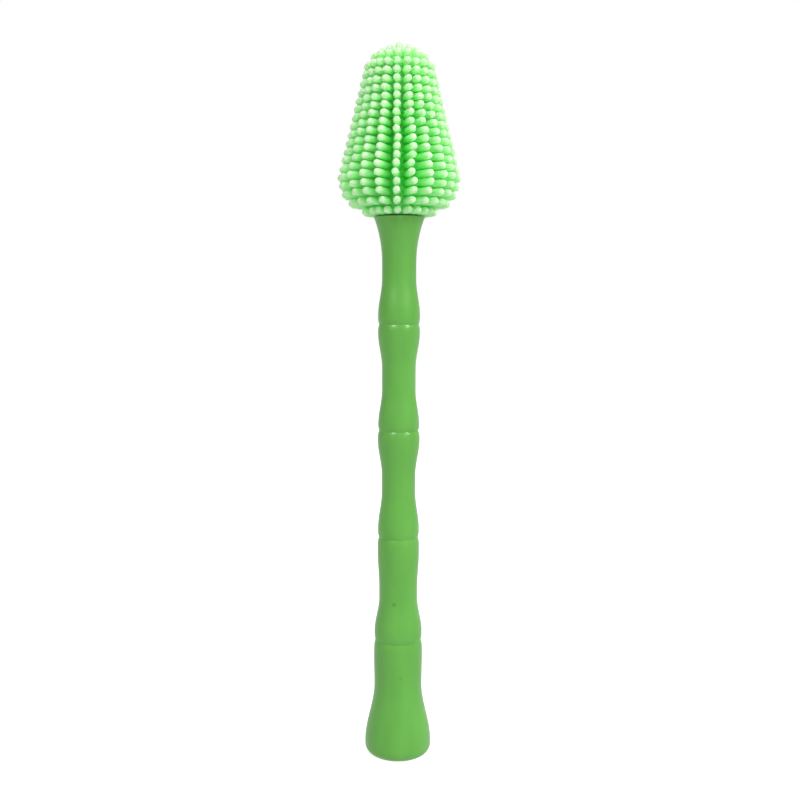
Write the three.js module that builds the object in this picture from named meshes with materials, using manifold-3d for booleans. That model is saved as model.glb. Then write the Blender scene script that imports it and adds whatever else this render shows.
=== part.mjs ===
// A pet toothbrush: a bamboo-shaped grip that stands on its flared foot, and a soft head with bristles
// all round it, moulded over a stiff core that plugs into the top of the grip.
//
// Millimetres. The brush stands on Z = 0 with +Z up along its axis, and -Y is its front.

import * as THREE from 'three';
import { mergeVertices } from 'three/addons/utils/BufferGeometryUtils.js';
import Module from 'manifold-3d';

// ---------------------------------------------------------------- driving dimensions

const OVERALL_HEIGHT = 187;
const GAP = 0.3; // clearance between two pieces that touch
const JOIN = 0.5; // how far a solid runs into another that it is joined to or cut from

const grip = {
  height: 142.9, // foot to collar face
  footFlatRadius: 6.0,
  footRadius: 8.8,
  footEdge: 2.8, // height over which the foot's lower edge rounds over
  footSteps: 3, // bands of faces in that edge
  waistRadius: 4.45, // slimmest place, just under the collar flare
  flareStart: 131,
  flarePower: 2.1,
  collarRadius: 6.6,
  collarEdge: 0.3,
  sides: 28,
  step: 3.2, // height of one band of faces
};

// Bulges and waists of the bamboo stem, foot to collar: [height, radius].
// The stem runs level at each of them and eases from one to the next.
const stem = [
  [3.2, grip.footRadius],
  [18.8, 6.34],
  [26.5, 6.47],
  [33.4, 6.32],
  [42.4, 5.08],
  [45.5, 5.08],
  [54.8, 5.5],
  [61.2, 5.44],
  [71.0, 4.43],
  [75.5, 4.43],
  [85.1, 5.53],
  [89.0, 5.42],
  [98.0, 4.43],
  [104.0, 4.43],
  [113.0, 5.47],
  [117.6, 5.47],
  [127.0, grip.waistRadius],
  [grip.flareStart, grip.waistRadius],
];

// The grooves between the bamboo joints. Two round shoulders meet in a crease.
const groove = { heights: [31.1, 58.9, 87.4, 115.2], halfWidth: 1.8, shoulder: 5.4 };

const socket = { depth: 15, radius: 2.8, flat: 1.9, segments: 12 }; // D-shaped, so that the head can't turn

const core = {
  flangeRadius: 4.6,
  flangeThickness: 1.2,
  flangeSlope: 0.4, // height of the slope from the flange to the spine
  spineRadius: 3.3, // above the flange
  tipRadius: 1.9, // below the rounded top
  top: 180.2,
  ribHeights: [150, 159, 168],
  ribRise: 0.5,
  ribHalfWidth: 0.7,
  sides: 16,
};

const head = {
  columns: 22,
  rows: 18, // level rows, below the three that fan out over the top
  firstRow: 144.1,
  pitch: 2.128,
  turn: THREE.MathUtils.degToRad(-4), // the front column stands a little left of centre
  tipRadius: 0.95,
  rootRadius: 1.05,
  bristleSides: 3, // plain three-sided pins stand for the round bristles
  rootShare: 0.55, // widest root, as a share of the room between two roots
  lowerTips: [9.75, 13.2, 14.9, 15.65], // reach of the rows that round in towards the grip
  widestTip: 16.1, // reach of the row above those
  taper: 0.248, // loss of reach for each millimetre of height
};

// The rows that fan out over the top: how many bristles, where their tips are and how far they tilt up.
const crown = [
  { count: 16, reach: 6.9, height: 183.3, tilt: 30 },
  { count: 10, reach: 4.7, height: 185.0, tilt: 55 },
  { count: 4, reach: 2.65, height: 186.3, tilt: 74 },
  { count: 1, reach: 0, height: OVERALL_HEIGHT, tilt: 90 },
];
const CROWN_LENGTH = 4.5;

// Outline of the soft sleeve that the bristles grow from: [radius, height], bottom to top.
const sleeve = [
  [6.2, grip.height + GAP],
  [7.3, 146],
  [8.0, 152],
  [4.5, 180.3],
  [3.4, 182.1],
];
const SLEEVE_TOP = 183;

// ---------------------------------------------------------------- solids

const wasm = await Module();
wasm.setup();

/** A three.js geometry as a solid that can be cut and joined. */
function solid(geometry) {
  const bare = geometry.clone();
  bare.deleteAttribute('normal');
  bare.deleteAttribute('uv');
  const closed = mergeVertices(bare, 1e-5);
  return new wasm.Manifold(new wasm.Mesh({
    numProp: 3,
    vertProperties: new Float32Array(closed.attributes.position.array),
    triVerts: new Uint32Array(closed.index.array),
  }));
}

/** A solid as a named mesh with its own material. */
function meshOf(name, shape, { color, roughness }) {
  const { vertProperties, triVerts } = shape.getMesh();
  const geometry = new THREE.BufferGeometry();
  geometry.setAttribute('position', new THREE.BufferAttribute(new Float32Array(vertProperties), 3));
  geometry.setIndex(new THREE.BufferAttribute(new Uint32Array(triVerts), 1));
  geometry.computeVertexNormals();
  const mesh = new THREE.Mesh(geometry, new THREE.MeshStandardMaterial({ color, roughness, metalness: 0 }));
  mesh.name = name;
  return mesh;
}

/** Turns an outline of [radius, height] points, bottom to top, about the Z axis. */
function turned(outline, sides, start = 0) {
  const points = outline.map(([radius, height]) => new THREE.Vector2(radius, height));
  return solid(new THREE.LatheGeometry(points, sides, start).rotateX(Math.PI / 2));
}

/** A D-shaped bar along Z: a circle with its back cut off at the flat. */
function dBar(radius, flat, bottom, top) {
  const half = Math.acos(flat / radius);
  const outline = new THREE.Shape();
  outline.absarc(0, 0, radius, Math.PI / 2 + half, Math.PI / 2 - half + 2 * Math.PI, false);
  const extrusion = { depth: top - bottom, bevelEnabled: false, curveSegments: socket.segments };
  return solid(new THREE.ExtrudeGeometry(outline, extrusion).translate(0, 0, bottom));
}

// ---------------------------------------------------------------- grip

/** Radius of the grip at a height above its rounded foot edge. */
function gripRadius(height) {
  if (height > grip.flareStart) {
    const share = (height - grip.flareStart) / (grip.height - grip.flareStart);
    return grip.waistRadius + (grip.collarRadius - grip.waistRadius) * share ** grip.flarePower;
  }
  const next = Math.max(1, stem.findIndex(([z]) => z >= height));
  const [lowZ, lowRadius] = stem[next - 1];
  const [highZ, highRadius] = stem[next];
  const bulge = THREE.MathUtils.lerp(lowRadius, highRadius, THREE.MathUtils.smoothstep(height, lowZ, highZ));
  const nearest = Math.min(...groove.heights.map((z) => Math.abs(z - height)));
  const inside = Math.max(0, groove.halfWidth - nearest);
  return bulge - (groove.shoulder - Math.sqrt(groove.shoulder ** 2 - inside ** 2));
}

/** Heights of the grip's bands: even steps, and five finer ones at each groove. */
function gripHeights() {
  const heights = [];
  const clear = groove.halfWidth + grip.step / 8;
  for (let z = stem[0][0]; z < grip.height - grip.step / 2; z += grip.step) {
    if (groove.heights.every((ring) => Math.abs(ring - z) > clear)) heights.push(z);
  }
  for (const ring of groove.heights) {
    for (const share of [-1, -0.5, 0, 0.5, 1]) heights.push(ring + share * groove.halfWidth);
  }
  return heights.sort((a, b) => a - b);
}

function makeHandle() {
  const outline = [[0, 0], [grip.footFlatRadius, 0]];
  for (let step = 1; step < grip.footSteps; step += 1) {
    const angle = (step / grip.footSteps) * (Math.PI / 2);
    outline.push([
      grip.footFlatRadius + (grip.footRadius - grip.footFlatRadius) * Math.sin(angle),
      grip.footEdge * (1 - Math.cos(angle)),
    ]);
  }
  for (const z of gripHeights()) outline.push([gripRadius(z), z]);
  const rim = grip.height - grip.collarEdge;
  outline.push([gripRadius(rim), rim], [grip.collarRadius - grip.collarEdge, grip.height], [0, grip.height]);
  const bore = dBar(socket.radius, socket.flat, grip.height - socket.depth, grip.height + JOIN);
  return turned(outline, grip.sides).subtract(bore);
}

// ---------------------------------------------------------------- head core

/** Outline of the core's flange and ribbed spine. With a clearance it is the bore that the core fills. */
function spineOutline(clearance) {
  const bottom = grip.height + GAP;
  const spineBottom = bottom + core.flangeThickness;
  const radiusAt = (z) => clearance + THREE.MathUtils.mapLinear(
    z, spineBottom, core.top - core.tipRadius, core.spineRadius, core.tipRadius);
  const flange = core.flangeRadius + clearance;
  const outline = [[0, bottom - clearance], [flange, bottom - clearance], [flange, spineBottom + clearance]];
  outline.push([radiusAt(spineBottom), spineBottom + clearance + core.flangeSlope]);
  for (const rib of core.ribHeights) {
    for (const [shift, rise] of [[-2, 0], [-1, 1], [1, 1], [2, 0]]) {
      const z = rib + shift * core.ribHalfWidth + Math.sign(shift) * clearance * rise;
      outline.push([radiusAt(z) + rise * core.ribRise, z]);
    }
  }
  const shoulder = core.top - core.tipRadius;
  const halfWay = Math.SQRT1_2; // of the quarter turn from the shoulder to the top
  outline.push([radiusAt(shoulder), shoulder]);
  outline.push([radiusAt(shoulder) * halfWay, shoulder + core.tipRadius * halfWay + clearance]);
  outline.push([0, core.top + clearance]);
  return outline;
}

function makeHeadCore() {
  const plugBottom = grip.height - socket.depth + GAP;
  const plug = dBar(socket.radius - GAP, socket.flat - GAP, plugBottom, grip.height + GAP + JOIN);
  return turned(spineOutline(0), core.sides).add(plug);
}

// ---------------------------------------------------------------- brush head

/** Radius of the sleeve at a height. */
function sleeveRadius(height) {
  const next = Math.max(1, sleeve.findIndex(([, z]) => z >= height));
  const [lowRadius, lowZ] = sleeve[next - 1];
  const [highRadius, highZ] = sleeve[next];
  return THREE.MathUtils.mapLinear(height, lowZ, highZ, lowRadius, highRadius);
}

/** One bristle from its buried root to its tip. Its direction is given by its turn about Z and its tilt. */
function bristle({ rootRadius, length, reach, height, turn, tilt }) {
  const outline = [[0, 0], [rootRadius, 0], [head.tipRadius, length - head.tipRadius], [0, length]];
  const points = outline.map(([radius, along]) => new THREE.Vector2(radius, along));
  const pin = new THREE.LatheGeometry(points, head.bristleSides);
  pin.translate(0, -length, 0);
  pin.rotateZ(THREE.MathUtils.degToRad(tilt) - Math.PI / 2);
  pin.translate(reach, 0, 0).rotateX(Math.PI / 2).translate(0, 0, height);
  pin.rotateZ(turn - Math.PI / 2);
  return solid(pin);
}

/** How far the tips of a level row reach from the axis. */
function rowReach(row) {
  if (row < head.lowerTips.length) return head.lowerTips[row];
  return head.widestTip - head.taper * head.pitch * (row - head.lowerTips.length);
}

function levelRow(row) {
  const height = head.firstRow + row * head.pitch;
  const root = sleeveRadius(height) * Math.cos(Math.PI / head.columns);
  const spacing = (2 * Math.PI * root) / head.columns;
  const rootRadius = Math.min(head.rootRadius, head.rootShare * spacing);
  const reach = rowReach(row);
  const length = reach - root + JOIN;
  return Array.from({ length: head.columns }, (_, column) => {
    const turn = head.turn + (column * 2 * Math.PI) / head.columns;
    return bristle({ rootRadius, length, reach, height, turn, tilt: 0 });
  });
}

function crownRow({ count, reach, height, tilt }) {
  return Array.from({ length: count }, (_, column) => {
    const turn = head.turn + (column * 2 * Math.PI) / count;
    return bristle({ rootRadius: head.tipRadius, length: CROWN_LENGTH, reach, height, turn, tilt });
  });
}

function makeBrushHead() {
  const halfColumn = Math.PI / head.columns;
  const outline = [[0, sleeve[0][1]], ...sleeve, [0, SLEEVE_TOP]];
  const body = turned(outline, head.columns, head.turn + halfColumn);
  const rows = Array.from({ length: head.rows }, (_, row) => levelRow(row));
  const bristles = [...rows, ...crown.map(crownRow)].flat();
  return wasm.Manifold.union([body, ...bristles]).subtract(turned(spineOutline(GAP), core.sides));
}

// ---------------------------------------------------------------- the brush

const gripPlastic = { color: 0x6bb554, roughness: 0.42 };
const corePlastic = { color: 0x5fa84c, roughness: 0.5 };
const softRubber = { color: 0x8eea86, roughness: 0.5 };

const toothbrush = new THREE.Group();
toothbrush.add(meshOf('handle', makeHandle(), gripPlastic));
toothbrush.add(meshOf('head_core', makeHeadCore(), corePlastic));
toothbrush.add(meshOf('brush_head', makeBrushHead(), softRubber));

export default toothbrush;
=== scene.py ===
"""Looks of the pet toothbrush: a fine grip, a head with every bristle, studio light and the camera.

Blender works in metres here. Outlines are written in millimetres and scaled by MM as they become meshes.
Angles round the brush are measured from its front, -Y, towards +X.
"""
import math
import random

import bpy
import numpy as np
from mathutils import Matrix, Vector


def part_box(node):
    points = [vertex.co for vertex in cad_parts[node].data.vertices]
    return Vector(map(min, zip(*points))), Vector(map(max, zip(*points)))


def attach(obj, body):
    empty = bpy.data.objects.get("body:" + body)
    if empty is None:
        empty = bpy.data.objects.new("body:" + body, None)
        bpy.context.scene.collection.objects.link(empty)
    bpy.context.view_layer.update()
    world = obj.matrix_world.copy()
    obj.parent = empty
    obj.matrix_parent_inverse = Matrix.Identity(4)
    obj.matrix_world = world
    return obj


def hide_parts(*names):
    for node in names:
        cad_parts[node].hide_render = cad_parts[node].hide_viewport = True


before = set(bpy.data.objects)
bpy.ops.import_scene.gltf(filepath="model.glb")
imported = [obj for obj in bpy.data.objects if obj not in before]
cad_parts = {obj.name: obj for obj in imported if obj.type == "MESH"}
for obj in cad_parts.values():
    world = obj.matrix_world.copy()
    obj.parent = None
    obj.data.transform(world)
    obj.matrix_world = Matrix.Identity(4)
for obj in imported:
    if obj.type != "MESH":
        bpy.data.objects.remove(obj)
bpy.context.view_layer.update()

MM = 0.001
BODY = "root"
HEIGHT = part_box("brush_head")[1].z / MM
HEAD_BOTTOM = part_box("brush_head")[0].z / MM
COLLAR_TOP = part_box("handle")[1].z / MM
FOOT_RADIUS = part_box("handle")[1].x / MM
CORE_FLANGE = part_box("head_core")[1].x / MM
CORE_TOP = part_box("head_core")[1].z / MM
CORE_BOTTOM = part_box("head_core")[0].z / MM
GAP = HEAD_BOTTOM - COLLAR_TOP


# ---------------------------------------------------------------- mesh tools

def smoothstep(x, low, high):
    share = min(1.0, max(0.0, (x - low) / (high - low)))
    return share * share * (3 - 2 * share)


def link(obj):
    bpy.context.scene.collection.objects.link(obj)
    return obj


def make_object(name, points, faces, material, values=None, sharp=math.radians(50)):
    """A smooth-shaded mesh from points in millimetres. values is {attribute name: one number per point}."""
    mesh = bpy.data.meshes.new(name)
    mesh.from_pydata([tuple(p) for p in np.asarray(points) * MM], [], faces)
    for attribute, numbers in (values or {}).items():
        layer = mesh.attributes.new(attribute, "FLOAT", "POINT")
        layer.data.foreach_set("value", np.asarray(numbers, np.float32))
    mesh.shade_smooth()
    mesh.set_sharp_from_angle(angle=sharp)
    mesh.materials.append(material)
    return link(bpy.data.objects.new(name, mesh))


def ring(radius, height, count, start=0.0):
    """Points of a level ring. radius is one number, or one for each point."""
    angle = start + np.arange(count) * 2 * math.pi / count
    radius = np.broadcast_to(radius, count)
    return np.stack([radius * np.sin(angle), -radius * np.cos(angle), np.full(count, float(height))], 1)


def band_faces(low, high, count):
    """Quads between two rings of count points that start at indices low and high. They face out when high
    comes after low along the outline."""
    return [(low + i, low + (i + 1) % count, high + (i + 1) % count, high + i) for i in range(count)]


# ---------------------------------------------------------------- grip

GRIP_SIDES = 128
GRIP_CREASE = math.radians(30)  # sharper edges than this stay crisp: the creases and the collar's rim
STEM_STEP = 0.7  # height of one band of faces, away from the grooves
EDGE_RINGS, GROOVE_RINGS, RIM_RINGS = 14, 31, 6
FOOT_FLAT = 6.4
FOOT_EDGE = 2.5
FLARE_START = 131.0
FLARE_POWER = 2.1
WAIST = 4.45
COLLAR_RADIUS = 6.6
COLLAR_EDGE = 0.22
SOCKET_RADIUS, SOCKET_FLAT = 2.8, 1.9
GROOVES = (31.1, 58.9, 87.4, 115.2)
GROOVE_HALF, GROOVE_SHOULDER = 1.8, 5.4  # half a groove's width, and how round its two shoulders are
GROOVE_CLEAR = 0.2

# Bulges and waists of the bamboo stem, foot to collar: (height, radius).
STEM = (
    (3.2, FOOT_RADIUS), (18.8, 6.34), (26.5, 6.47), (33.4, 6.32), (42.4, 5.08), (45.5, 5.08),
    (54.8, 5.5), (61.2, 5.44), (71.0, 4.43), (75.5, 4.43), (85.1, 5.53), (89.0, 5.42),
    (98.0, 4.43), (104.0, 4.43), (113.0, 5.47), (117.6, 5.47), (127.0, WAIST), (FLARE_START, WAIST),
)


def grip_radius(z):
    """Radius of the grip above its rounded foot edge: it eases from each bulge or waist to the next."""
    if z > FLARE_START:
        share = (z - FLARE_START) / (COLLAR_TOP - FLARE_START)
        return WAIST + (COLLAR_RADIUS - WAIST) * share**FLARE_POWER
    (low_z, low_r), (high_z, high_r) = next((a, b) for a, b in zip(STEM, STEM[1:]) if z <= b[0])
    bulge = low_r + (high_r - low_r) * smoothstep(z, low_z, high_z)
    inside = max(0.0, GROOVE_HALF - min(abs(z - groove) for groove in GROOVES))
    return bulge - (GROOVE_SHOULDER - math.sqrt(GROOVE_SHOULDER**2 - inside**2))


def grip_outline():
    """(radius, height) points from the foot's flat to the collar's face."""
    outline = []
    for turn in np.linspace(0, math.pi / 2, EDGE_RINGS):
        radius = FOOT_FLAT + (FOOT_RADIUS - FOOT_FLAT) * math.sin(turn)
        outline.append((radius, FOOT_EDGE * (1 - math.cos(turn))))
    coarse = np.arange(STEM[0][0], COLLAR_TOP - COLLAR_EDGE, STEM_STEP)
    heights = [z for z in coarse if min(abs(z - groove) for groove in GROOVES) > GROOVE_HALF + GROOVE_CLEAR]
    for groove in GROOVES:
        heights += list(groove + np.linspace(-1, 1, GROOVE_RINGS) * GROOVE_HALF)
    outline += [(grip_radius(z), z) for z in sorted(heights)]
    for turn in np.linspace(0, math.pi / 2, RIM_RINGS):
        radius = COLLAR_RADIUS - COLLAR_EDGE * (1 - math.cos(turn))
        outline.append((radius, COLLAR_TOP - COLLAR_EDGE * (1 - math.sin(turn))))
    return outline


def socket_radii(count):
    """The D-shaped socket's radius at each point of a ring, with the flat at the back."""
    angle = np.arange(count) * 2 * math.pi / count
    back = -np.cos(angle)
    return np.where(back > SOCKET_FLAT / SOCKET_RADIUS, SOCKET_FLAT / np.maximum(back, 1e-6), SOCKET_RADIUS)


def make_grip(material):
    """The grip and its D-shaped socket, as one closed skin from the foot's middle to the socket's floor."""
    rings = [ring(radius, height, GRIP_SIDES) for radius, height in grip_outline()]
    socket = socket_radii(GRIP_SIDES)
    floor = CORE_BOTTOM - GAP
    rings += [ring(socket, COLLAR_TOP, GRIP_SIDES), ring(socket, floor, GRIP_SIDES)]
    points = np.concatenate(rings + [[(0, 0, 0), (0, 0, floor)]])
    faces = []
    for index in range(len(rings) - 1):
        faces += band_faces(index * GRIP_SIDES, (index + 1) * GRIP_SIDES, GRIP_SIDES)
    foot, bore = len(points) - 2, len(points) - 1
    last = (len(rings) - 1) * GRIP_SIDES
    for i in range(GRIP_SIDES):
        after = (i + 1) % GRIP_SIDES
        faces += [(foot, after, i), (bore, last + i, last + after)]
    return make_object("bamboo_grip", points, faces, material, sharp=GRIP_CREASE)


# ---------------------------------------------------------------- bristle head

HEAD_SEED = 7
MERGE_DISTANCE = 0.002
COLUMNS = 22
LEVEL_ROWS = 18
FIRST_ROW = 144.1
ROW_PITCH = 2.128
FRONT_TURN = math.radians(-4)
LOWER_REACH = (9.7, 13.15, 14.85, 15.6)
WIDEST_REACH = 16.05
TAPER = 0.248
TIP_RADIUS = 0.9
ROOT_RADIUS = 1.0
ROOT_FILL = 0.44  # the most that half a bristle's root takes of its cell
SIDE_POINTS = 4  # points along each side of a bristle's cell
RING_POINTS = 4 * SIDE_POINTS
CORNER = -0.75 * math.pi  # a ring round a bristle starts at its lower left corner
CELL_RINGS = (0.6, 1.0)  # rings from a cell's border in to its bristle's root
ALONG = (0.03, 0.1, 0.2, 0.34, 0.5, 0.66, 0.8)  # rings along a bristle, before its round tip
TIP_RINGS = 4

# How far the tips of the front columns lean towards +X or -X, in millimetres, from each of these rows up.
# The other columns lean at random.
SWAY_ROWS = (0, 4, 6, 10, 14)
SWAY = {
    0: (0.4, 0.05, 0.4, 0.0, -0.15),
    1: (0.8, -0.2, 0.65, 0.35, 0.35),
    2: (0.8, 0.65, 0.4, 0.05, 0.1),
    3: (0.75, 0.5, 0.45, 0.0, 0.15),
    20: (0.1, 0.05, 0.0, -0.1, -0.35),
    21: (-0.2, -0.2, -0.25, -0.15, -0.45),
}
SWAY_SPREAD = 0.25
LEAN_SPREAD, RISE_SPREAD = 0.16, 0.09  # what each bristle adds to its column's lean, across and up
TIP_SHORT = 0.08  # the most that a bristle falls short of its row's reach
TOP_LIFT_ROW, TOP_LIFT = 14, 0.15  # the rows above this one tilt up more and more

# The rows over the top: (bristles, reach, height of the tips).
CROWN = ((16, 7.3, 183.5), (10, 4.9, 185.15), (4, 2.7, 186.4))
CROWN_SPREAD, CROWN_DROP, CROWN_LEAN = 0.15, 0.2, 0.1  # how uneven their reach, height and lean are
CROWN_SEAM = 0.06  # width of the seam where one of these rows meets the next
CENTRE_HALF = 0.62  # half the width of the middle bristle's root

# Outline of the sleeve under the bristles, bottom to top: (radius, height).
SLEEVE = (
    (6.2, HEAD_BOTTOM + 0.05), (6.9, 144.8), (7.7, 148.0), (8.0, 152.0), (7.0, 161.2),
    (6.4, 170.2), (5.9, 178.0), (5.2, 181.0), (3.1, 182.6), (0.0, 183.2),
)
UNDERSIDE_EDGE = 0.1

# The core that the head is moulded over, as in the CAD.
FLANGE_THICKNESS, FLANGE_SLOPE = 1.2, 0.4
SPINE_LOW, SPINE_HIGH = 3.3, 1.9
SPINE_ROUND = 0.7  # the spine's rounded top narrows to this share of SPINE_HIGH before its tip
RIBS = (150.0, 159.0, 168.0)
RIB_RISE, RIB_HALF = 0.5, 0.7


def smooth_outline(points, steps=24):
    """A dense Catmull-Rom curve through points, mirrored past its last one so that it ends level."""
    knots = np.array(points)
    before = 2 * knots[0] - knots[1]
    after = knots[-2] * (-1, 1)
    knots = np.vstack([before, knots, after])
    dense = []
    for p0, p1, p2, p3 in zip(knots, knots[1:], knots[2:], knots[3:]):
        for t in np.arange(steps) / steps:
            dense.append(0.5 * (2 * p1 + (p2 - p0) * t + (2 * p0 - 5 * p1 + 4 * p2 - p3) * t**2
                                + (3 * p1 - p0 - 3 * p2 + p3) * t**3))
    dense.append(knots[-2])
    return np.array(dense)


class Sleeve:
    """The surface that the bristles grow from. A place on it is an angle and a length along the outline."""

    def __init__(self, points):
        self.outline = smooth_outline(points)
        steps = np.linalg.norm(np.diff(self.outline, axis=0), axis=1)
        self.length = np.concatenate([[0], np.cumsum(steps)])

    def radius(self, along):
        return np.interp(along, self.length, self.outline[:, 0])

    def height(self, along):
        return np.interp(along, self.length, self.outline[:, 1])

    def along(self, height):
        return float(np.interp(height, self.outline[:, 1], self.length))

    def points(self, angle, along):
        radius, height = self.radius(along), self.height(along)
        return np.stack([radius * np.sin(angle), -radius * np.cos(angle), height], -1)


def bristle_turns():
    """The angles of the points of a ring round a bristle."""
    return CORNER + np.arange(RING_POINTS) * 2 * math.pi / RING_POINTS


class HeadMesh:
    """Points and faces of the head, with each point's place along its bristle and its bristle's tone."""

    def __init__(self, seed):
        self.points, self.faces, self.reach, self.tone = [], [], [], []
        self.count = 0
        self.random = random.Random(seed)

    def add_ring(self, points, reach=0.0, tone=0.5):
        start = self.count
        self.points.append(np.asarray(points))
        self.reach += [reach] * len(points)
        self.tone += [tone] * len(points)
        self.count += len(points)
        return start

    def join(self, low, high, count):
        self.faces += band_faces(low, high, count)

    def cap(self, start, count, tip, reach, tone):
        top = self.add_ring([tip], reach, tone)
        self.faces += [(start + i, start + (i + 1) % count, top) for i in range(count)]

    def zip(self, low, low_angles, high, high_angles):
        """Triangles between two rings with different numbers of points, matched by their angles."""
        n, m = len(low_angles), len(high_angles)
        shift = int(np.argmin(np.abs(high_angles - low_angles[0])))
        turns = [high_angles[(shift + k) % m] + 2 * math.pi * ((shift + k) // m) for k in range(m + 1)]
        i = j = 0
        while i < n or j < m:
            next_low = low_angles[(i + 1) % n] + (2 * math.pi if i + 1 >= n else 0)
            if j >= m or (i < n and next_low <= turns[min(j + 1, m)]):
                self.faces.append((low + i % n, low + (i + 1) % n, high + (shift + j) % m))
                i += 1
            else:
                self.faces.append((low + i % n, high + (shift + j + 1) % m, high + (shift + j) % m))
                j += 1

    def bristle(self, foot_ring, root, across, tip, sizes, bend):
        """Grows one bristle from a ring of points on the sleeve. sizes is its half width and half height at
        the root, and bend is how far its tip leans across and up."""
        axis = tip - root
        length = np.linalg.norm(axis)
        axis = axis / length
        up = np.cross(axis, across)
        lean = across * bend[0] + up * bend[1]
        tone = self.random.random()
        turn = bristle_turns()
        body = length - TIP_RADIUS

        def place(distance, half_width, half_height):
            share = distance / length
            direction = axis + lean * (2 * share / length)
            direction = direction / np.linalg.norm(direction)
            side = across - direction * np.dot(across, direction)
            side = side / np.linalg.norm(side)
            top = np.cross(direction, side)
            centre = root + axis * distance + lean * share**2
            sideways = np.outer(np.cos(turn), side) * half_width
            upwards = np.outer(np.sin(turn), top) * half_height
            return centre + sideways + upwards

        below = foot_ring
        for share in ALONG:
            full = smoothstep(share, 0, 0.5)
            round_size = ROOT_RADIUS + (TIP_RADIUS - ROOT_RADIUS) * share
            width = sizes[0] + (round_size - sizes[0]) * full
            height = sizes[1] + (round_size - sizes[1]) * full
            above = self.add_ring(place(share * body, width, height), share * body / length, tone)
            self.join(below, above, RING_POINTS)
            below = above
        for step in range(TIP_RINGS):
            rise = math.pi / 2 * step / TIP_RINGS
            distance = body + TIP_RADIUS * math.sin(rise)
            size = TIP_RADIUS * math.cos(rise)
            above = self.add_ring(place(distance, size, size), distance / length, tone)
            self.join(below, above, RING_POINTS)
            below = above
        self.cap(below, RING_POINTS, place(length, 0, 0)[0], 1.0, tone)


def cell_border():
    """Points round a unit square, from its lower left corner, anticlockwise as seen from outside."""
    side = np.arange(SIDE_POINTS) * 2 / SIDE_POINTS - 1
    edge = np.full(SIDE_POINTS, 1.0)
    return np.concatenate([
        np.stack([side, -edge], 1), np.stack([edge, side], 1),
        np.stack([-side, edge], 1), np.stack([-edge, -side], 1),
    ])


def grow_row(mesh, sleeve, count, low, middle, high, tip_of, lean_of):
    """One ring of cells on the sleeve, each with a bristle. tip_of(angle) is a tip's place, and
    lean_of(column) is how far the tip leans across and up."""
    border = cell_border()
    circle = np.stack([np.cos(bristle_turns()), np.sin(bristle_turns())], 1)
    half_angle = math.pi / count
    radius = float(sleeve.radius(middle))
    half_width = min(ROOT_RADIUS, ROOT_FILL * 2 * half_angle * radius)
    half_height = min(ROOT_RADIUS, ROOT_FILL * (high - low))
    for column in range(count):
        angle = FRONT_TURN + 2 * half_angle * column
        side = np.where(border[:, 1] > 0, high - middle, middle - low) * border[:, 1]
        outer = np.stack([angle + border[:, 0] * half_angle, middle + side], 1)
        inner = np.stack([angle + circle[:, 0] * half_width / radius, middle + circle[:, 1] * half_height], 1)
        previous = mesh.add_ring(sleeve.points(outer[:, 0], outer[:, 1]))
        for share in CELL_RINGS:
            place = outer + (inner - outer) * share
            current = mesh.add_ring(sleeve.points(place[:, 0], place[:, 1]))
            mesh.join(previous, current, RING_POINTS)
            previous = current
        across = np.array([math.cos(angle), math.sin(angle), 0.0])
        root = sleeve.points(angle, middle)
        mesh.bristle(previous, root, across, tip_of(angle), (half_width, half_height), lean_of(column))


def row_reach(row):
    if row < len(LOWER_REACH):
        return LOWER_REACH[row]
    return WIDEST_REACH - TAPER * ROW_PITCH * (row - len(LOWER_REACH))


def column_sway(shake):
    """How far each column leans in each group of rows."""
    columns = []
    for column in range(COLUMNS):
        drift = [shake.gauss(0, SWAY_SPREAD) for _ in SWAY_ROWS]
        columns.append(SWAY.get(column, drift))
    return columns


def grow_level_rows(mesh, sleeve):
    """The level rows, bottom to top. Gives back how far up the sleeve they end."""
    shake = mesh.random
    sway = column_sway(shake)
    low = 0.0
    for row in range(LEVEL_ROWS):
        height = FIRST_ROW + row * ROW_PITCH
        middle, high = sleeve.along(height), sleeve.along(height + ROW_PITCH / 2)
        reach = row_reach(row)
        group = sum(row >= first for first in SWAY_ROWS) - 1
        lift = TOP_LIFT * max(0, row - TOP_LIFT_ROW)

        def tip_of(angle):
            far = reach - shake.uniform(0, TIP_SHORT)
            return np.array([far * math.sin(angle), -far * math.cos(angle), height + lift])

        def lean_of(column):
            return sway[column][group] + shake.gauss(0, LEAN_SPREAD), shake.gauss(0, RISE_SPREAD)

        grow_row(mesh, sleeve, COLUMNS, low, middle, high, tip_of, lean_of)
        low = high
    return low


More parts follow.
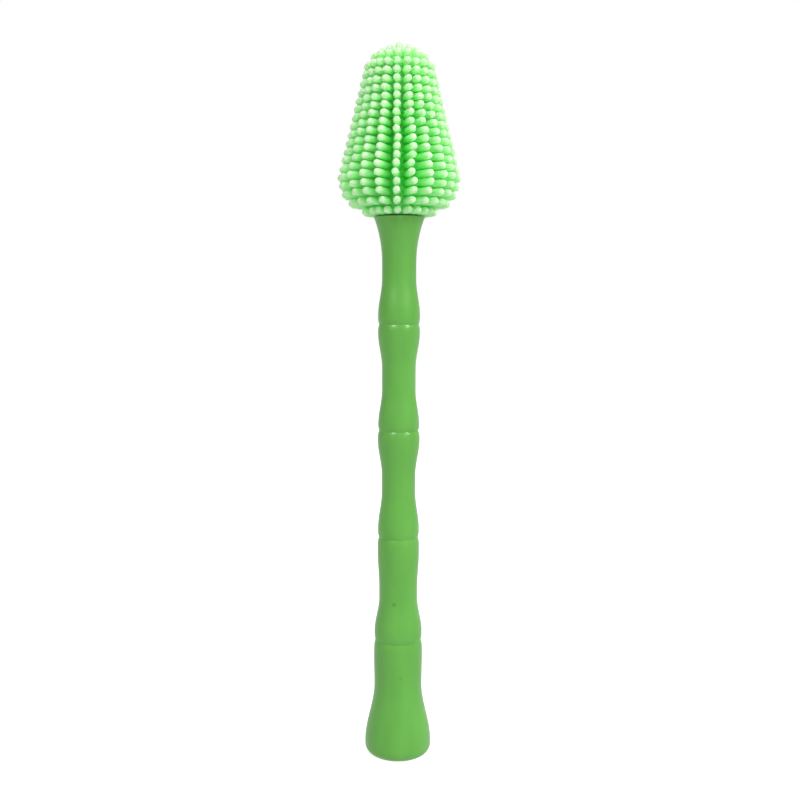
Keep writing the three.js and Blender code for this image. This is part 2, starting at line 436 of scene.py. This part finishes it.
def grow_crown(mesh, sleeve, low):
    """The rows over the top and the middle bristle. Each row is zipped to the ring below it, as their numbers
    of bristles differ."""
    shake = mesh.random
    top = sleeve.length[-1] - CENTRE_HALF
    width = (top - low) / len(CROWN)

    def border_ring(along, count):
        points = count * SIDE_POINTS
        angles = FRONT_TURN - math.pi / count + np.arange(points) * 2 * math.pi / points
        return mesh.add_ring(sleeve.points(angles, np.full(points, along))), angles

    below, below_angles = border_ring(low, COLUMNS)
    for row, (count, reach, height) in enumerate(CROWN):
        start, end = low + row * width + CROWN_SEAM, low + (row + 1) * width
        above, above_angles = border_ring(start, count)
        mesh.zip(below, below_angles, above, above_angles)

        def tip_of(angle):
            far = reach + shake.uniform(-CROWN_SPREAD, CROWN_SPREAD)
            rise = height - shake.uniform(0, CROWN_DROP)
            return np.array([far * math.sin(angle), -far * math.cos(angle), rise])

        def lean_of(column):
            return shake.gauss(0, CROWN_LEAN), 0.0

        grow_row(mesh, sleeve, count, start, (start + end) / 2, end, tip_of, lean_of)
        below, below_angles = border_ring(end, count)
    angles = bristle_turns() + math.pi / 2
    last = mesh.add_ring(sleeve.points(angles, np.full(RING_POINTS, top + CROWN_SEAM)))
    mesh.zip(below, below_angles, last, angles)
    root = np.array([0.0, 0.0, sleeve.height(top + CROWN_SEAM)])
    tip = np.array([0.0, 0.0, HEIGHT])
    mesh.bristle(last, root, np.array([0.0, 1.0, 0.0]), tip, (CENTRE_HALF, CENTRE_HALF), (0.0, 0.0))


def bore_outline():
    """(radius, height) of the bore that the core fills, from the bottom up."""
    spine_bottom = HEAD_BOTTOM + FLANGE_THICKNESS
    shoulder = CORE_TOP - SPINE_HIGH

    def spine(z):
        share = (z - spine_bottom) / (shoulder - spine_bottom)
        return SPINE_LOW + (SPINE_HIGH - SPINE_LOW) * share + GAP

    flange = CORE_FLANGE + GAP
    flange_top = spine_bottom + GAP
    outline = [(flange, HEAD_BOTTOM), (flange, flange_top), (spine(spine_bottom), flange_top + FLANGE_SLOPE)]
    for rib in RIBS:
        for shift, rise in ((-2, 0), (-1, 1), (1, 1), (2, 0)):
            z = rib + shift * RIB_HALF + math.copysign(GAP, shift) * rise
            outline.append((spine(z) + rise * RIB_RISE, z))
    round_top = CORE_TOP - SPINE_HIGH * (1 - SPINE_ROUND) + GAP
    outline += [(spine(shoulder), shoulder), (spine(shoulder) * SPINE_ROUND, round_top)]
    return outline


def close_underside(mesh, sleeve):
    """The head's flat underside and the bore for its core."""
    count = COLUMNS * SIDE_POINTS
    start = FRONT_TURN - math.pi / COLUMNS
    outer = mesh.add_ring(sleeve.points(start + np.arange(count) * 2 * math.pi / count, np.zeros(count)))
    previous = mesh.add_ring(ring(SLEEVE[0][0] - UNDERSIDE_EDGE, HEAD_BOTTOM, count, start))
    mesh.join(previous, outer, count)
    for radius, height in bore_outline():
        current = mesh.add_ring(ring(radius, height, count, start))
        mesh.join(current, previous, count)
        previous = current
    tip = mesh.add_ring([(0, 0, CORE_TOP + GAP)])
    mesh.faces += [(previous + (i + 1) % count, previous + i, tip) for i in range(count)]


def merge_seams(obj):
    """Joins the cells along their shared borders."""
    bpy.context.view_layer.objects.active = obj
    obj.select_set(True)
    bpy.ops.object.mode_set(mode="EDIT")
    bpy.ops.mesh.select_all(action="SELECT")
    bpy.ops.mesh.remove_doubles(threshold=MERGE_DISTANCE * MM)
    bpy.ops.object.mode_set(mode="OBJECT")
    obj.select_set(False)


def make_bristle_head(material):
    """The soft head: a sleeve and all its bristles as one closed skin, with a bore for the core."""
    sleeve = Sleeve(SLEEVE)
    mesh = HeadMesh(HEAD_SEED)
    top = grow_level_rows(mesh, sleeve)
    grow_crown(mesh, sleeve, top)
    close_underside(mesh, sleeve)
    values = {"reach": mesh.reach, "tone": mesh.tone}
    head = make_object("bristle_head", np.concatenate(mesh.points), mesh.faces, material, values)
    merge_seams(head)
    return head


# ---------------------------------------------------------------- materials

SPECK_COLOR = (0.03, 0.17, 0.02, 1)
SPECK_CORE = 0.4  # share of a speck's radius that has its full strength
# Painted light: the head turns to this colour from TOP_PALE_FROM of the brush's height up and over its lowest
# millimetres.
PALE_MINT = (0.56, 0.98, 0.5, 1)
TOP_PALE_FROM, TOP_PALE = 0.87, 0.8
LOW_PALE_HEIGHT, LOW_PALE = 7.0, 0.5


class Nodes:
    """Short calls for building one material's nodes."""

    def __init__(self, name):
        self.material = bpy.data.materials.new(name)
        self.material.use_nodes = True
        self.tree = self.material.node_tree
        self.shader = self.tree.nodes["Principled BSDF"]

    def add(self, kind, inputs=None, **settings):
        node = self.tree.nodes.new(kind)
        for key, value in settings.items():
            setattr(node, key, value)
        for key, value in (inputs or {}).items():
            self.put(node.inputs[key], value)
        return node

    def put(self, socket, value):
        if isinstance(value, bpy.types.NodeSocket):
            self.tree.links.new(value, socket)
        else:
            socket.default_value = value

    def ramp(self, factor, stops):
        node = self.add("ShaderNodeValToRGB", {"Fac": factor})
        elements = node.color_ramp.elements
        while len(elements) < len(stops):
            elements.new(0.5)
        for element, (position, color) in zip(elements, stops):
            element.position = position
            element.color = (*color, 1)
        return node.outputs["Color"]

    def noise(self, vector, scale, detail=3.0):
        inputs = {"Vector": vector, "Scale": scale, "Detail": detail}
        return self.add("ShaderNodeTexNoise", inputs).outputs["Fac"]

    def mix(self, factor, first, second):
        node = self.add("ShaderNodeMix", data_type="RGBA")
        self.put(node.inputs["Factor"], factor)
        colors = [socket for socket in node.inputs if socket.type == "RGBA"]
        self.put(colors[0], first)
        self.put(colors[1], second)
        return next(socket for socket in node.outputs if socket.type == "RGBA")

    def range(self, value, low, high, to_low, to_high):
        inputs = {"Value": value, "From Min": low, "From Max": high, "To Min": to_low, "To Max": to_high}
        return self.add("ShaderNodeMapRange", inputs).outputs["Result"]


def add_specks(nodes, place, color, specks):
    """Darkens a colour at tiny moulding specks: (x, y, z, radius, strength), in millimetres."""
    for x, y, z, radius, strength in specks:
        centre = (x * MM, y * MM, z * MM)
        away = nodes.add("ShaderNodeVectorMath", {0: place, 1: centre}, operation="DISTANCE").outputs["Value"]
        share = nodes.range(away, SPECK_CORE * radius * MM, radius * MM, strength, 0.0)
        color = nodes.mix(share, color, SPECK_COLOR)
    return color


def plastic(name, dark, light, roughness, specks=()):
    """Satin moulded plastic: faint cloudy colour, uneven satin and a fine orange peel."""
    nodes = Nodes(name)
    place = nodes.add("ShaderNodeTexCoord").outputs["Object"]
    stretched = nodes.add("ShaderNodeMapping", {"Vector": place, "Scale": (1, 1, 0.25)}).outputs["Vector"]
    clouds = nodes.noise(stretched, 220)
    color = nodes.ramp(clouds, ((0.3, dark), (0.7, light)))
    nodes.put(nodes.shader.inputs["Base Color"], add_specks(nodes, place, color, specks))
    satin = nodes.range(nodes.noise(stretched, 420), 0.3, 0.7, roughness - 0.04, roughness + 0.05)
    nodes.put(nodes.shader.inputs["Roughness"], satin)
    peel = nodes.noise(place, 1500, detail=2)
    bump = nodes.add("ShaderNodeBump", {"Height": peel, "Strength": 0.12, "Distance": 0.05 * MM})
    nodes.put(nodes.shader.inputs["Normal"], bump.outputs["Normal"])
    nodes.shader.inputs["Coat Weight"].default_value = 0.35
    nodes.shader.inputs["Coat Roughness"].default_value = 0.22
    nodes.shader.inputs["Subsurface Weight"].default_value = 0.15
    nodes.shader.inputs["Subsurface Radius"].default_value = (0.5, 1.0, 0.35)
    nodes.shader.inputs["Subsurface Scale"].default_value = 1.5 * MM
    nodes.shader.inputs["Specular IOR Level"].default_value = 0.35
    nodes.shader.inputs["IOR"].default_value = 1.49
    return nodes.material


def soft_rubber(name):
    """Translucent soft rubber with painted light: deep green shade between the bristles, pale mint glow at
    their tips.
    """
    nodes = Nodes(name)
    reach = nodes.add("ShaderNodeAttribute", attribute_name="reach").outputs["Fac"]
    tone = nodes.add("ShaderNodeAttribute", attribute_name="tone").outputs["Fac"]
    place = nodes.add("ShaderNodeTexCoord").outputs["Object"]
    clouds = nodes.noise(place, 500)
    uneven = nodes.add("ShaderNodeMath", {0: clouds, 1: tone}, operation="ADD").outputs["Value"]
    shift = nodes.range(uneven, 0.4, 1.6, -0.05, 0.05)
    share = nodes.add("ShaderNodeMath", {0: reach, 1: shift}, operation="ADD").outputs["Value"]
    # Painted shade deep green at the roots and on the sleeve, painted light pale mint at the tips.
    color = nodes.ramp(share, (
        (0.0, (0.16, 0.98, 0.17)),
        (0.5, (0.3, 0.98, 0.28)),
        (0.8, (0.42, 0.98, 0.38)),
        (0.93, (0.5, 0.98, 0.46)),
        (1.0, (0.6, 0.98, 0.54)),
    ))
    height = nodes.add("ShaderNodeSeparateXYZ", {"Vector": place}).outputs["Z"]
    # Painted light: paler over the crown, where light fills it, and over the lowest millimetres, lit by the
    # floor's bounce.
    top_painted_light = nodes.range(height, TOP_PALE_FROM * HEIGHT * MM, HEIGHT * MM, 0.0, TOP_PALE)
    low_end = HEAD_BOTTOM + LOW_PALE_HEIGHT
    low_painted_light = nodes.range(height, HEAD_BOTTOM * MM, low_end * MM, LOW_PALE, 0.0)
    painted_light = nodes.add("ShaderNodeMath", {0: top_painted_light, 1: low_painted_light}, operation="ADD").outputs["Value"]
    nodes.put(nodes.shader.inputs["Base Color"], nodes.mix(painted_light, color, PALE_MINT))
    nodes.put(nodes.shader.inputs["Roughness"], nodes.range(clouds, 0.3, 0.7, 0.42, 0.52))
    grain = nodes.noise(place, 4000, detail=2)
    bump = nodes.add("ShaderNodeBump", {"Height": grain, "Strength": 0.1, "Distance": 0.02 * MM})
    nodes.put(nodes.shader.inputs["Normal"], bump.outputs["Normal"])
    nodes.shader.inputs["Subsurface Weight"].default_value = 1.0
    nodes.shader.inputs["Subsurface Radius"].default_value = (0.5, 1.0, 0.4)
    nodes.shader.inputs["Subsurface Scale"].default_value = 3.4 * MM
    nodes.shader.inputs["Specular IOR Level"].default_value = 0.35
    nodes.shader.inputs["IOR"].default_value = 1.45
    return nodes.material


# ---------------------------------------------------------------- stage, light and camera

def plain_material(name, color, glow):
    material = bpy.data.materials.new(name)
    material.use_nodes = True
    shader = material.node_tree.nodes["Principled BSDF"]
    shader.inputs["Base Color"].default_value = (color, color, color, 1)
    shader.inputs["Roughness"].default_value = 0.9
    shader.inputs["Specular IOR Level"].default_value = 0.0
    shader.inputs["Emission Color"].default_value = (1, 1, 1, 1)
    shader.inputs["Emission Strength"].default_value = glow
    return material


STAGE_RADIUS = 6.0


def make_stage():
    """A plain white floor that runs out to a plain white backdrop on every side. The room and the lights
    light the brush, so neither the floor nor the backdrop shows in its reflections."""
    bpy.ops.mesh.primitive_circle_add(vertices=96, radius=STAGE_RADIUS, fill_type="NGON")
    floor = bpy.context.object
    floor.name = "floor"
    floor.data.materials.append(plain_material("floor_white", 0.4, 0.86))
    floor.visible_diffuse = False
    floor.visible_glossy = False
    bpy.ops.mesh.primitive_uv_sphere_add(segments=64, ring_count=32, radius=STAGE_RADIUS)
    backdrop = bpy.context.object
    backdrop.name = "backdrop"
    backdrop.data.materials.append(plain_material("backdrop_white", 0.0, 1.0))
    backdrop.visible_diffuse = False
    backdrop.visible_glossy = False
    backdrop.visible_transmission = False
    backdrop.visible_shadow = False


def softbox(name, azimuth, elevation, distance, size, power, diffuse=True, glossy=False):
    """A square light that looks at the middle of the brush from an angle round it and above it. With diffuse
    off it only gives highlights, and with glossy off it gives none."""
    data = bpy.data.lights.new(name, "AREA")
    data.size = size
    data.energy = power
    light = link(bpy.data.objects.new(name, data))
    turn, rise = math.radians(azimuth), math.radians(elevation)
    out = Vector((math.sin(turn) * math.cos(rise), -math.cos(turn) * math.cos(rise), math.sin(rise)))
    light.location = Vector((0, 0, 0.5 * HEIGHT * MM)) + out * distance
    light.rotation_euler = out.to_track_quat("Z", "Y").to_euler()
    light.visible_diffuse = diffuse
    light.visible_glossy = glossy


# How bright the room is in front of the brush, behind it and below it.
FRONT_GLOW, BACK_GLOW, FLOOR_GLOW = 0.25, 0.65, 0.85
HORIZON = 0.1  # how softly the floor's glow changes to the room's


def light_room():
    """A white room that is brightest below the brush and behind it."""
    world = bpy.data.worlds.new("studio")
    bpy.context.scene.world = world
    world.use_nodes = True
    nodes, links = world.node_tree.nodes, world.node_tree.links

    def glow(value, low, high, to_low, to_high):
        node = nodes.new("ShaderNodeMapRange")
        settings = {"Value": value, "From Min": low, "From Max": high, "To Min": to_low, "To Max": to_high}
        for key, setting in settings.items():
            if isinstance(setting, bpy.types.NodeSocket):
                links.new(setting, node.inputs[key])
            else:
                node.inputs[key].default_value = setting
        return node.outputs["Result"]

    split = nodes.new("ShaderNodeSeparateXYZ")
    links.new(nodes.new("ShaderNodeTexCoord").outputs["Generated"], split.inputs["Vector"])
    above = glow(split.outputs["Y"], -1, 1, FRONT_GLOW, BACK_GLOW)
    level = glow(split.outputs["Z"], -HORIZON, HORIZON, FLOOR_GLOW, above)
    nodes["Background"].inputs["Color"].default_value = (1, 1, 1, 1)
    links.new(level, nodes["Background"].inputs["Strength"])


def place_lights():
    softbox("key_light", 54, 34, 1.5, 0.34, 6.6)
    softbox("fill_light", -34, 34, 1.5, 0.34, 2.0)
    softbox("key_highlight", 54, 33, 1.5, 0.34, 9.5, diffuse=False, glossy=True)
    softbox("fill_highlight", -34, 36, 1.5, 0.34, 11.5, diffuse=False, glossy=True)
    softbox("top_light", 30, 62, 1.8, 1.4, 14.5)
    softbox("front_light", 15, 30, 1.8, 1.0, 9.5)
    softbox("back_light_left", -150, 10, 1.8, 1.2, 3.0)
    softbox("back_light_right", 145, 10, 1.8, 1.2, 9.6)


CAMERA_DISTANCE = 261.9 * MM
CAMERA_HEIGHT = 119.07 * MM
CAMERA_PITCH = 0.09
CAMERA_ROLL = 0.0032
CAMERA_SIDE = 0.32 * MM
LENS = 45.0


def make_camera():
    data = bpy.data.cameras.new("camera")
    data.sensor_width = 36.0
    data.lens = LENS
    data.clip_start = 0.01
    data.clip_end = 50.0
    camera = link(bpy.data.objects.new("camera", data))
    camera.matrix_world = (
        Matrix.Translation((CAMERA_SIDE, -CAMERA_DISTANCE, CAMERA_HEIGHT))
        @ Matrix.Rotation(math.pi / 2 - CAMERA_PITCH, 4, "X")
        @ Matrix.Rotation(CAMERA_ROLL, 4, "Z")
    )
    bpy.context.scene.camera = camera


# ---------------------------------------------------------------- the brush

bpy.context.scene.view_settings.view_transform = "Standard"
make_camera()
light_room()
place_lights()
make_stage()

grip_specks = (
    (-1.06, -4.99, 41.8, 0.75, 0.4),
    (0.78, -6.35, 22.3, 0.8, 0.16),
)
grip_material = plastic("grip_satin", (0.107, 0.378, 0.047), (0.124, 0.424, 0.057), 0.42, grip_specks)
core_material = plastic("core_plain", (0.1, 0.35, 0.06), (0.12, 0.39, 0.07), 0.5)
rubber_material = soft_rubber("bristle_rubber")

grip = make_grip(grip_material)
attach(grip, BODY)
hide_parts("handle")

head = make_bristle_head(rubber_material)
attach(head, BODY)
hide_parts("brush_head")

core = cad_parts["head_core"]
core.data.materials.clear()
core.data.materials.append(core_material)
